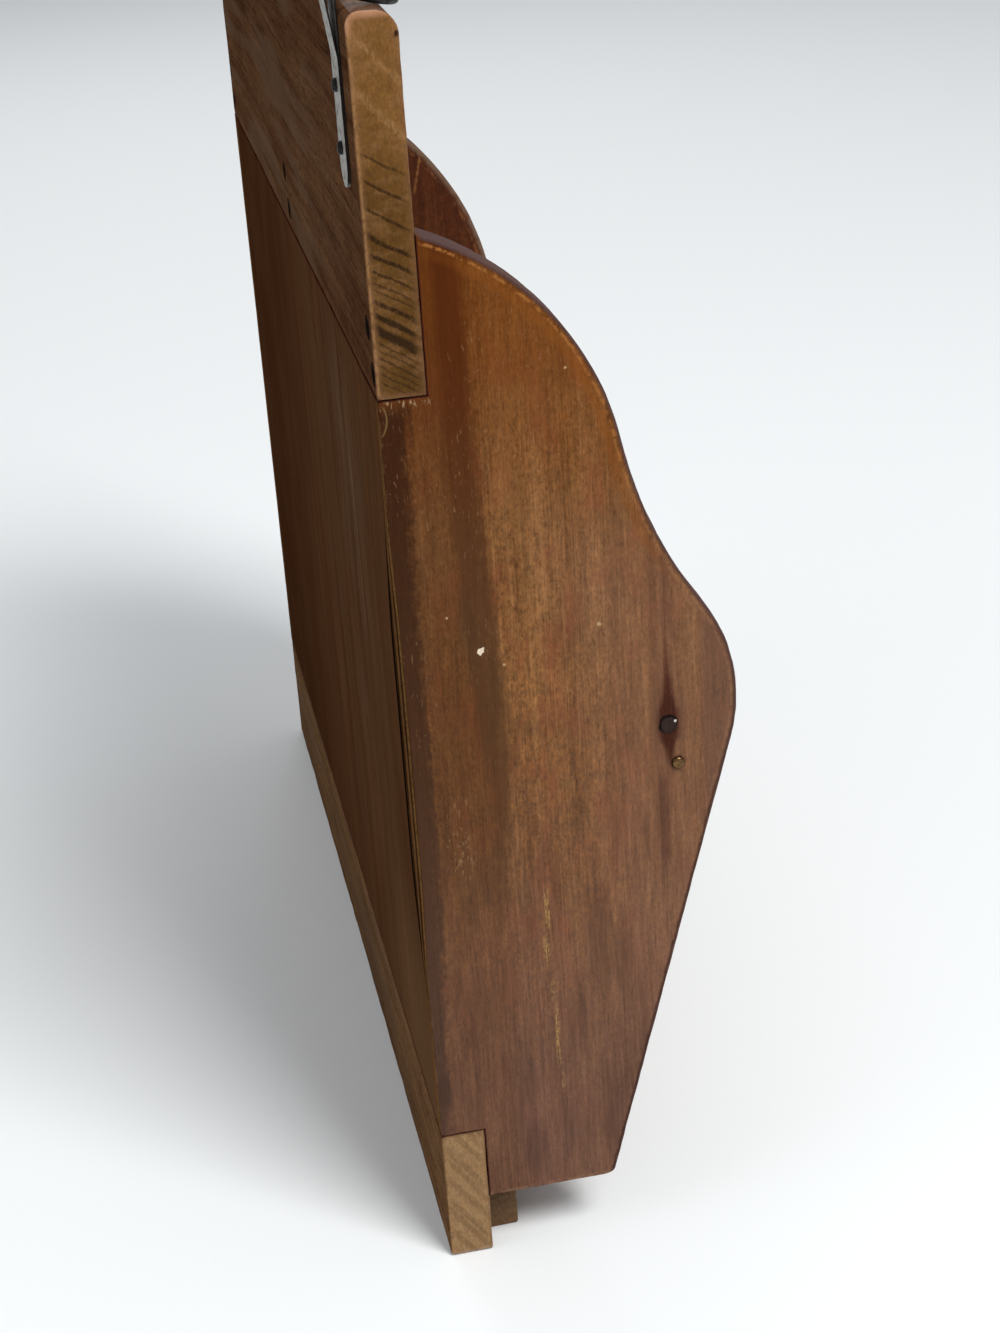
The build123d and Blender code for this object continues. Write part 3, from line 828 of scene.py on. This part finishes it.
def rail_marks(p, slope, rings, plain_above, end_top, end_low, ring_tone, pale_arcs=()):
    """Growth rings on a rail's sawn ends, and the long dark grain and grey wear of its back."""
    grainy = p.add(p.times(p.add(p.speckle, -0.5), 2.0), p.loose)

    # Back and front faces
    pores = p.fit(p.noise(p.grown, (1.1, 1.1, 0.02), detail=3, rough=0.6, shift=6.0), 0.56, 0.66)
    p.stain(tone(38, 20, 12), pores, 0.6)
    knots = p.noise(p.grown, (0.1, 0.1, 0.03), detail=2, twist=1.5, shift=17.0)
    p.stain(tone(44, 26, 17), p.line(p.math("FRACT", p.times(knots, 9.0)), 0.5, 0.22), 0.3)
    grey = p.fit(p.noise(p.grown, (0.12, 0.12, 0.012), detail=2, shift=9.0), 0.42, 0.6)
    p.stain(tone(98, 78, 62), grey, p.fit(p.add(p.x, -left_end), 20, 160), 0.5)

    # Sawn ends
    ends = p.fit(p.absolute(p.x), -left_end - 0.9, -left_end - 0.35)
    sweep = p.noise(p.mm, (0.02, 0.1, 0.1), detail=1, shift=8.0)
    w = p.add(
        p.z, p.times(p.add(p.depth, -rail_thickness / 2), slope), p.times(p.add(sweep, -0.5), 2.2),
        p.times(p.loose, 1.2), p.times(p.line(p.z, 286.0, 12.0), p.add(p.depth, -rail_thickness / 2), 0.12),
    )
    cloudy = p.add(p.fit(p.z, plain_above - 26, plain_above + 14), p.times(p.add(p.cloud, -0.5), 2.2))
    end_color = p.mix(cloudy, end_low, end_top)
    blush = p.fit(p.noise(p.mm, (0.1, 0.16, 0.3), detail=3, rough=0.6, shift=63.0), 0.45, 0.65)
    end_color = p.mix(p.times(blush, 0.3), end_color, tone(134, 96, 62))
    end_color = p.vary(end_color, grainy, 0.5)
    hatch = p.noise(p.mm, (0.3, 1.9, 0.55), detail=2, rough=0.7, shift=31.0)
    broken = p.fit(hatch, 0.36, 0.5, 0.5, 1.0)
    middle_of_end = p.times(p.fit(p.depth, 0.4, 2.2), p.fit(p.depth, 9.5, 12.5, 1.0, 0.2))
    bands = [
        p.times(p.fall(p.absolute(p.add(w, -ring)), half * 0.45, half * 1.3), strength)
        for ring, half, strength in rings
    ]
    dark = reduce(p.most, bands)
    dark = p.times(
        dark, p.mix(p.fit(dark, 0.86, 0.92), broken, (0.9, 0.9, 0.9, 1)), middle_of_end,
        p.fit(p.z, plain_above, plain_above - 8.0),
    )
    end_color = p.mix(dark, end_color, ring_tone)
    for arc, half in pale_arcs:
        arc_place = p.frayed(p.add(p.z, p.times(p.depth, 1.1)), 2.5)
        pale = p.times(p.line(arc_place, arc, half * 1.5), p.fit(hatch, 0.3, 0.7), 0.42)
        end_color = p.mix(pale, end_color, tone(168, 128, 88))
    p.stain(end_color, ends)
    p.stain(tone(84, 54, 28), p.fall(p.frayed(p.rim(), 1.8), 0.2, 1.4, 0.4), ends)
    p.stain(rubbed_edge, p.fall(p.frayed(p.rim(), 2.6), 0.0, 0.9, 0.6), p.fit(p.mottle, 0.42, 0.6))
    back_arris = p.times(p.line(p.frayed(p.depth, 1.2), 0.7, 0.5), ends, p.fit(p.mottle, 0.4, 0.55))
    p.stain(tone(166, 124, 74), back_arris, 0.4)
    p.relief = p.add(p.relief, p.times(dark, -0.7))
    p.rough = p.add(p.rough, p.times(ends, -0.1))


def top_rail_marks_and_highlight(p):
    """The top rail's rings, its nick, the dark round its nail holes and a painted highlight along its rounded
    top.
    """
    arcs = ((358, 1.3), (345, 1.5))
    rail_marks(p, 0.6, top_rings, 336, tone(112, 76, 36), tone(80, 52, 16), tone(32, 16, 1), arcs)
    # Near black in and round the nail holes: dark iron stain round them and painted shade on their walls
    for x, z in nail_points:
        away = p.span(p.add(p.x, -x), p.frayed(p.add(p.z, -z), 2.0))
        hole = p.fall(away, nail_hole / 2 + 0.4, nail_hole / 2 + 1.3, 0.95)
        inside = p.fall(p.absolute(p.x), -left_end - 0.5, -left_end - 0.1)
        p.stain(tone(14, 8, 6), hole, p.fall(p.depth, 5.0, 6.0), inside)
    ends = p.fall(p.x, left_end + 0.35, left_end + 0.9)
    # Painted highlight: a pale pink line along the rounded top, standing in for the light caught there
    top_highlight = p.times(p.fall(p.frayed(p.rim(), 1.6), 0.3, 2.4), p.fit(p.z, 355, 360.5, 0.2, 1.0), ends)
    p.stain(tone(196, 144, 112), top_highlight, p.fit(p.depth, 8.5, 12.0, 0.62, 0.3))
    nick = p.fall(p.frayed(away_from(p, 11.9, 356.3, 1.6), 3.5), 0.3, 1.0)
    p.stain(tone(30, 14, 10), nick, ends, 0.9)


def low_rail_marks(p):
    """The bottom rail's soft slanting rings and the foot on which it has stood."""
    rail_marks(p, 1.4, low_rings, 60, tone(156, 122, 86), tone(144, 112, 76), tone(98, 70, 40))
    ends = p.fall(p.x, left_end + 0.5, left_end + 1.2)
    p.stain(tone(176, 144, 118), p.fall(p.frayed(p.z, 4.0), 0.6, 2.0, 0.6), ends)


def sheet_marks_and_edge_shade(p):
    """The back sheet: paler streaks in its near half, redder and darker towards its far side, and edge faces
    painted near black, partly a dark sawn edge and partly painted shade in the gaps beside the sides.
    """
    across_x = p.add(p.x, -left_end)
    p.stain(tone(58, 32, 16), p.fit(p.frayed(across_x, 60), 130, 300), 0.75)
    streaks = p.fit(p.noise(p.grown, (0.09, 0.09, 0.02), detail=5, rough=0.65, shift=14.0), 0.42, 0.7)
    patch = p.times(p.band(p.frayed(across_x, 30), 30, 150, 40), p.fit(p.z, 50, 150))
    behind = p.fall(p.depth, 1.0, 3.0)
    p.stain(tone(94, 74, 56), streaks, patch, behind, 0.5)
    haze = p.times(p.band(p.add(across_x, p.times(p.z, -0.12)), 36, 66, 16), p.band(p.z, 175, 252, 20))
    p.stain(tone(118, 98, 78), p.fit(p.streak, 0.4, 0.6), haze, behind, 0.5)
    dull = p.fit(p.noise(p.mm, (0.03, 0.03, 0.016), detail=4, rough=0.6, shift=71.0), 0.4, 0.66)
    p.stain(tone(80, 55, 36), dull, 0.4)
    p.stain(tone(110, 83, 58), p.fall(p.z, 60, 130), p.fall(across_x, 35, 100), 0.45)
    # Painted shade in part: the faces turned sideways, the sheet's edges, are painted near black
    p.stain(tone(14, 7, 4), p.fit(p.sideways(), 0.3, 0.6, 0.0, 0.95))


def front_panel_marks(p):
    """The front panels, which are out of view: stained like the sides, darker low down."""
    clouded(p, "x")
    p.stain(tone(104, 68, 48), p.fit(p.frayed(p.z, 50), 15, 130, 0.55, 0.1))
    worn_edges(p, 0.55, 1.3)


def divider_marks(p):
    """The divider: dark faces, a pale scrape on the left one and a broad grey-brown rubbed front."""
    front = p.fit(p.depth, 12.8, 14.5)
    ragged = p.frayed(p.rim(), 1.2)
    p.stain(tone(138, 112, 92), p.fall(ragged, 0.6, 2.2), front, p.fit(p.z, 40, 60), 0.6)
    arris = p.times(p.line(ragged, 2.6, 0.7), front, p.fit(p.mottle, 0.46, 0.6), p.fit(p.depth, 15.5, 18.0))
    p.stain(tone(150, 102, 62), arris, 0.4)
    scrape = p.times(
        p.band(p.add(p.depth, p.times(p.add(p.z, -280), -0.22)), 40.5, 41.2, 0.5), p.band(p.z, 275, 286, 2.0),
        p.fall(p.x, -4.4, -4.0), p.fit(p.speckle, 0.3, 0.55),
    )
    p.stain(tone(166, 112, 64), scrape, 0.55)


top_rings = (
    (325.8, 0.4, 0.6), (319.3, 0.5, 0.75), (312.5, 0.5, 0.75), (306.0, 0.7, 0.85), (301.5, 0.65, 0.85),
    (297.6, 0.42, 0.75), (294.7, 0.4, 0.55), (292.9, 0.3, 0.5), (289.7, 0.85, 0.85), (285.8, 1.0, 0.95),
    (281.9, 1.6, 0.95), (278.7, 0.32, 0.6), (276.9, 0.3, 0.5), (274.9, 0.4, 0.6), (272.9, 0.3, 0.5),
    (271.1, 0.36, 0.5), (269.0, 0.3, 0.5),
)
low_rings = tuple((2.0 + 6.1 * i + 1.4 * sin(2.2 * i), 1.7 + 0.5 * sin(3.1 * i), 0.46) for i in range(9))

near_side = wood(
    "near_side", "z", side_pale, side_middle, side_dark, 2.0, near_side_marks_and_light, specular=0.06, contrast=1.4,
)
near_side_back = wood(
    "near_side_back", "z", tone(120, 84, 52), tone(100, 68, 40), tone(74, 48, 27), 3.0, lip_marks_and_gap_shade,
    specular=0.0,
)
far_side = wood("far_side", "z", side_pale, side_middle, side_dark, 31.0, far_side_marks_and_light, contrast=1.3)
divider_wood = wood(
    "divider_wood", "z", tone(94, 52, 26), tone(78, 38, 17), tone(58, 27, 11), 47.0, divider_marks,
)
top_rail = ("x", tone(104, 74, 51), tone(88, 59, 39), tone(62, 38, 24), 61.0, top_rail_marks_and_highlight)
top_rail_wood = wood("top_rail_wood", *top_rail, shine=0.4, specular=0.08)
top_rail_back = wood("top_rail_back", *top_rail, shine=0.6, specular=0.0)
low_rail = ("x", tone(128, 96, 66), tone(112, 82, 56), tone(86, 60, 38), 67.0, low_rail_marks)
bottom_rail_wood = wood("bottom_rail_wood", *low_rail, shine=0.44, specular=0.14)
bottom_rail_back = wood("bottom_rail_back", *low_rail, shine=0.6, specular=0.0)
sheet_wood = wood(
    "sheet_wood", "z", tone(90, 59, 36), tone(80, 51, 31), tone(68, 42, 25), 77.0, sheet_marks_and_edge_shade, specular=0.0,
    contrast=0.6,
)
front_wood = wood("front_wood", "x", side_pale, side_middle, side_dark, 93.0, front_panel_marks, contrast=1.2)
inner_wood = wood(
    "inner_wood", "x", tone(136, 96, 62), tone(112, 74, 46), tone(84, 52, 32), 101.0, worn_edges,
)
strip_wood = wood(
    "strip_wood", "x", tone(122, 92, 62), tone(98, 72, 48), tone(70, 50, 32), 113.0,
    lambda p: worn_edges(p, 0.3),
)


def metal(name, base, rust, roughness, metallic, seed, specular=0.5, dark_cut_edges_and_shade=None):
    """Old metal with tarnish or rust, fine rubbing marks and, where given, dark cut edges that are partly
    painted shade.
    """
    p = Paint(name)
    patch = p.noise(p.mm, (0.5, 0.5, 0.5), detail=4, rough=0.65, shift=seed)
    fine = p.noise(p.mm, (3.0, 3.0, 3.0), detail=3, rough=0.6, shift=seed + 4)
    rub = p.noise(p.mm, (0.6, 0.6, 6.0), detail=2, shift=seed + 7)
    spots = p.fit(p.add(p.times(patch, 0.7), p.times(fine, 0.3)), 0.48, 0.62)
    p.color = p.mix(p.times(rub, 0.4), base, tuple(c * 0.6 for c in base[:3]) + (1.0,))
    p.stain(rust, spots, 0.85)
    rough = p.add(roughness, p.times(spots, 0.25), p.times(fine, 0.1))
    relief = p.add(p.times(fine, 0.5), p.times(spots, 0.5))
    # Dark cut edges: partly the metal's own dark edge, partly painted shade on the strap's narrow sides
    if dark_cut_edges_and_shade:
        p.stain(dark_cut_edges_and_shade, p.fit(p.sideways(), 0.4, 0.8))
    return p.finish(p.color, rough, relief, 0.05, metal=metallic, specular=specular)


strap_steel = metal(
    "strap_steel", tone(168, 166, 160), tone(110, 100, 90), 0.5, 0.6, 3.0, dark_cut_edges_and_shade=tone(30, 24, 21),
)
ring_steel = metal("ring_steel", tone(44, 42, 42), tone(30, 25, 22), 0.4, 0.7, 11.0)
nail_iron = metal("nail_iron", tone(26, 20, 17), tone(22, 13, 9), 0.6, 0.2, 19.0, specular=0.1)
screw_steel = metal("screw_steel", tone(34, 31, 29), tone(26, 19, 15), 0.45, 0.6, 23.0)
nail_brass = metal("nail_brass", tone(116, 88, 54), tone(44, 29, 18), 0.18, 0.9, 29.0)

# Boards
knot_cuts = [(1, [-d for d in steps(67.5, 75.6, 0.5)]), (2, steps(163.0, 171.0, 0.5))]
side_board("left_board", left_end, -1, 2.0, [near_side, near_side_back], knot_cuts)
side_board("right_board", -left_end - board_thickness, 1, 40.0, [far_side, near_side_back])

divider, divider_tree = vertical_board(-board_thickness / 2, panel_thickness, 2.5)
slice_up(divider, 0, [-2.2, 0, 2.2])
slice_up(divider, 1, [-d for d in steps(panel_thickness, 91, 3.2)])
slice_up(divider, 2, steps(board_bottom, board_top, 3.2))
wear(divider, divider_tree, 0.3, 0.05, 17.0)
set_piece("divider_board", divider, "organizer", ["center_divider"], [divider_wood])

rail = block((left_end, -rail_thickness, top_rail_bottom), (-left_end, 0, height))
rail_tree = edge_tree(rail)
bevel(rail, long_edges(rail, lambda c: c.z > height - 1 and c.y > -1), top_back_round, 6)
bevel(rail, long_edges(rail, lambda c: c.z > height - 1 and c.y < -5), top_front_round, 8)
bevel(rail, sharp_edges(rail, 50), 0.35, 2)
drills = []
for x, z in nail_points:
    drill = bmesh.new()
    bmesh.ops.create_cone(
        drill, cap_ends=True, segments=28, radius1=nail_hole / 2, radius2=nail_hole / 2 + 0.15, depth=5.4,
        matrix=Matrix.Translation((x, 0.5, z)) @ Matrix.Rotation(radians(-90), 4, "X"),
    )
    drills.append(drill)
rail = cut_away(rail, *drills)
top_levels = steps(top_rail_bottom, height - 6, 3.0) + steps(height - 7, height, 1.0)
finish_rail(rail, rail_tree, top_levels, 0.35, 5.0)
set_piece("top_rail_board", rail, "organizer", ["top_rail"], [top_rail_wood, top_rail_back])

rail = block((left_end, -rail_thickness, 0), (-left_end, 0, bottom_rail_height))
rail_tree = edge_tree(rail)
bevel(rail, edges_where(rail, lambda c, d: abs(d.y) > 1 and c.z < 1), 1.4, 4)
bevel(rail, sharp_edges(rail, 50), 0.4, 2)
finish_rail(rail, rail_tree, steps(0, bottom_rail_height, 3.0) + [0.9, 1.9], 0.45, 8.0)
set_piece(
    "bottom_rail_board", rail, "organizer", ["bottom_rail"],
    [bottom_rail_wood, bottom_rail_back],
)

sheet_half = -left_end - side_lip - panel_gap
back = block(
    (-sheet_half, -panel_thickness, bottom_rail_height + panel_gap),
    (sheet_half, 0, top_rail_bottom - panel_gap),
)
back_tree = edge_tree(back)
bevel(back, back.edges[:], 0.3, 2)
slice_up(back, 0, steps(-sheet_half, sheet_half, 4.0) + near_steps(-sheet_half, sheet_half))
slice_up(back, 1, [-3.0])
slice_up(back, 2, steps(bottom_rail_height, top_rail_bottom, 4.0))
for v in back.verts:
    share = ease(1 - (v.co.x + sheet_half) / 90)
    v.co.x += sheet_spread * swell(v.co.z) * share ** 4
    v.co.y += sheet_bow * swell(v.co.z) * share ** 2
wear(back, back_tree, 0.2, 0.1, 12.0)
set_piece("back_sheet", back, "organizer", ["back_panel"], [sheet_wood])

pocket_width = -left_end - board_thickness * 1.5
for side, x in (("left", left_end + board_thickness), ("right", board_thickness / 2)):
    panel = bmesh.new()
    top_corner = Vector((slant_depth(front_top, front_recess), front_top, 0))
    back_corner = along(top_corner, 180 - slant, front_thickness)
    corner = panel.verts.new((slant_depth(board_bottom, front_recess), board_bottom, 0))
    inset = front_recess + front_thickness
    close_outline(panel, corner, corner, (
        top_corner.xy, back_corner.xy, (slant_depth(board_bottom, inset), board_bottom),
    ), pocket_width, x)
    panel_tree = edge_tree(panel)
    bevel(panel, long_edges(panel, lambda c: c.z > front_top - 1), 1.5, 4)
    bevel(panel, sharp_edges(panel, 50), 0.3, 2)
    slice_up(panel, 0, steps(x, x + pocket_width, 4.0))
    slice_up(panel, 2, steps(board_bottom, front_top, 4.0))
    wear(panel, panel_tree, 0.25, 0.06, 21.0 + x)
    set_piece(
        f"{side}_front_board", panel, "organizer", [f"{side}_front_panel"], [front_wood],
    )

    floor_board = bmesh.new()
    corner = floor_board.verts.new((rail_thickness, board_bottom, 0))
    floor_top = board_bottom + bottom_thickness
    close_outline(floor_board, corner, corner, (
        (slant_depth(board_bottom, inset), board_bottom), (slant_depth(floor_top, inset), floor_top),
        (rail_thickness, floor_top),
    ), pocket_width, x)
    floor_tree = edge_tree(floor_board)
    bevel(floor_board, sharp_edges(floor_board), 0.25, 2)
    slice_up(floor_board, 0, steps(x, x + pocket_width, 5.0))
    slice_up(floor_board, 1, [-d for d in steps(rail_thickness, 36, 4.0)])
    wear(floor_board, floor_tree, 0.15, 0.05, 33.0 + x)
    set_piece(
        f"{side}_pocket_floor", floor_board, "organizer", [f"{side}_bottom_board"],
        [inner_wood],
    )

strip_half = -left_end - strip_inset
strip = block(
    (-strip_half, -rail_thickness - strip_thickness, 0), (strip_half, -rail_thickness, board_bottom),
)
strip_tree = edge_tree(strip)
bevel(strip, long_edges(strip, lambda c: c.z < 1 and c.y < -rail_thickness - 5), 0.9, 3)
bevel(strip, sharp_edges(strip, 50), 0.4, 2)
slice_up(strip, 0, steps(-strip_half, strip_half, 4.0))
slice_up(strip, 2, steps(0, board_bottom, 4.0))
wear(strip, strip_tree, 0.4, 0.06, 55.0)
set_piece("foot_strip", strip, "organizer", ["lower_strip"], [strip_wood])

# Metal parts keep their own shape
for node, finish in (
    ("left_hanger_strap", strap_steel), ("right_hanger_strap", strap_steel), ("left_ring", ring_steel),
    ("right_ring", ring_steel), ("rail_nails", nail_iron), ("hanger_screws", screw_steel),
    ("brass_nails", nail_brass),
):
    node_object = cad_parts[node]
    node_object.data.materials.clear()
    node_object.data.materials.append(finish)
    node_object.data.shade_smooth()

# Floor
floor_mesh = bmesh.new()
bmesh.ops.create_grid(floor_mesh, x_segments=1, y_segments=1, size=5.0)
floor_data = bpy.data.meshes.new("floor")
floor_mesh.to_mesh(floor_data)
floor_mesh.free()
floor = place_object("floor", floor_data)
floor_paint = Paint("floor_paint")
floor_data.materials.append(floor_paint.finish(tone(248, 251, 252), 0.6, specular=0.1))


# Lights, world and camera
def lamp(name, place, target, size, power, color=(1, 1, 1)):
    light = bpy.data.lights.new(name, "AREA")
    light.size = size
    light.energy = power
    light.color = color
    made = place_object(name, light)
    made.location = place
    made.rotation_euler = (Vector(target) - Vector(place)).to_track_quat("-Z", "Y").to_euler()


lamp("window", (-1.3, -0.75, 2.0), (0, -0.04, 0.15), 0.9, 45, (1.0, 1.0, 0.99))
lamp("room", (-0.5, 1.6, 1.3), (0, -0.02, 0.18), 1.3, 4, (0.98, 0.99, 1.0))
lamp("far_room", (1.6, 0.0, 1.4), (0, 0, 0.18), 1.2, 7, (1.0, 0.99, 0.97))

world = bpy.data.worlds.new("world")
bpy.context.scene.world = world
world.use_nodes = True
plain = world.node_tree.nodes["Background"]
plain.inputs[0].default_value = (0.80, 0.82, 0.85, 1)
plain.inputs[1].default_value = 0.45

camera_data = bpy.data.cameras.new("camera")
camera = place_object("camera", camera_data)
bpy.context.scene.camera = camera
picture_height = 1333
focal_pixels = 2320.3
middle_right, middle_down = 39.8, -49.8
camera_data.sensor_width = 36.0
camera_data.lens = focal_pixels / picture_height * camera_data.sensor_width
camera_data.shift_x = -middle_right / picture_height
camera_data.shift_y = middle_down / picture_height
camera_place = Vector((-720.7, 69.1, 455.3)) * MM
camera_target = Vector((-64.5, -60.1, 150.0)) * MM
camera_roll = 0.0591
forward = (camera_target - camera_place).normalized()
level = forward.cross(Vector((0, 0, 1))).normalized()
down = forward.cross(level)
right = level * cos(camera_roll) + down * sin(camera_roll)
down = down * cos(camera_roll) - level * sin(camera_roll)
turn = Matrix((right, -down, -forward)).transposed()
camera.matrix_world = Matrix.Translation(camera_place) @ turn.to_4x4()

bpy.context.scene.view_settings.view_transform = "Standard"
